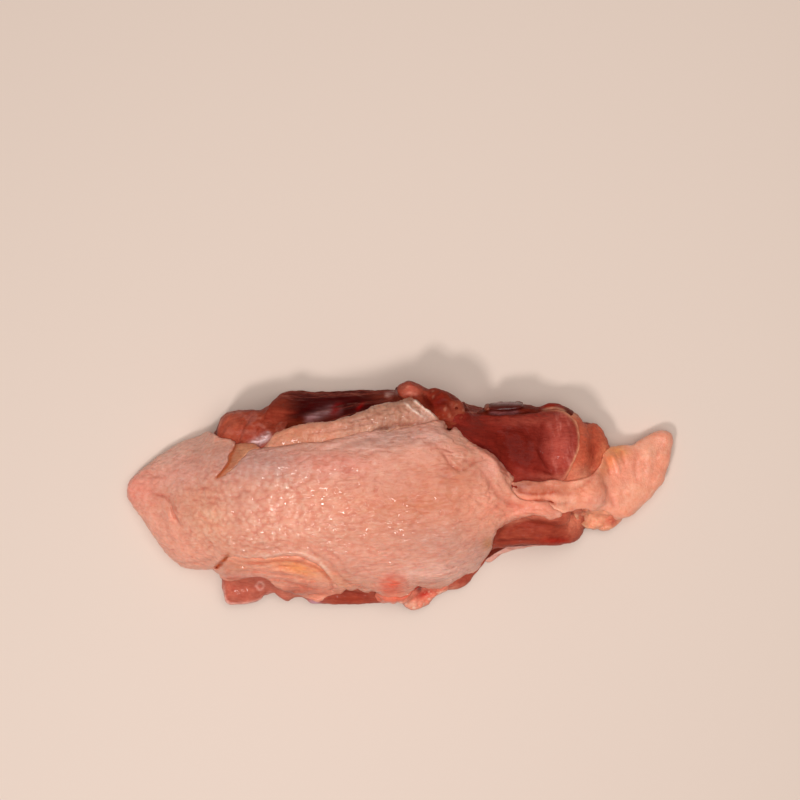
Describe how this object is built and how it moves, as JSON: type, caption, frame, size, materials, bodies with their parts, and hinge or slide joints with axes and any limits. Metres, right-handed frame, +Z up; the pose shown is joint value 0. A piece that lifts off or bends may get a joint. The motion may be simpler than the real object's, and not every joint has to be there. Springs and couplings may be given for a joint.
{
  "type": "raw chicken back",
  "caption": "Raw chicken back lying skin side up, with loose neck skin at one end and bare pelvis muscles and the tail at the other.",
  "frame": {"origin": "centre of the footprint on the surface that the back lies on", "axes": "+Z up out of the skin side, +X along the spine from the neck to the tail, +Y to the side where the shoulder blade and the larger pelvis muscle lie"},
  "size_m": [0.2058, 0.0864, 0.0424],
  "materials": {
    "skin": "raw peach-pink skin, wet, pimpled, glossy in small spots",
    "meat": "dark raw meat, wet and smooth under a thin film",
    "fat": "soft cream to yellow-orange fat, wet and grainy",
    "film": "thin pale connective film, glossy",
    "bone": "bluish white gristle and bone end, wet"
  },
  "bodies": {
    "root": {"chicken_back": "meat"}
  },
  "joints": []
}
